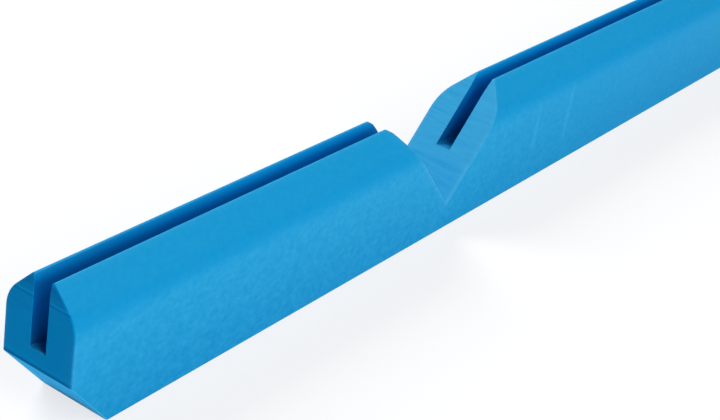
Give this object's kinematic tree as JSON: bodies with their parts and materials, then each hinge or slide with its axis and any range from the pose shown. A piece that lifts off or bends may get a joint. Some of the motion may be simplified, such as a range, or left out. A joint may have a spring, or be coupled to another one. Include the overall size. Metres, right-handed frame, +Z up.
{
  "type": "slotted squeegee applicator bar",
  "caption": "Matte blue plastic bar with a blade slot along its crest, bevelled ends and a V-notch over a flexing web, so that it folds to a corner.",
  "frame": {"origin": "middle of the flat base", "axes": "+X along the bar from its front end to its rear end, +Z up from the base to the lips of the slot"},
  "size_m": [0.4, 0.022, 0.04],
  "materials": {
    "blue_plastic": "matte, fine grained, with sawn ends and notch"
  },
  "bodies": {
    "rear": {"rear_arm": "blue_plastic", "hinge_web": "blue_plastic"},
    "front": {"front_arm": "blue_plastic"}
  },
  "joints": [
    {"name": "notch_fold", "type": "hinge", "parent": "rear", "child": "front", "pos_m": [-0.038, 0, 0.009], "axis": [0, 1, 0], "range_deg": [0, 86.5], "stiffness_Nm_per_rad": 3.5, "deforming": ["hinge_web"]}
  ]
}
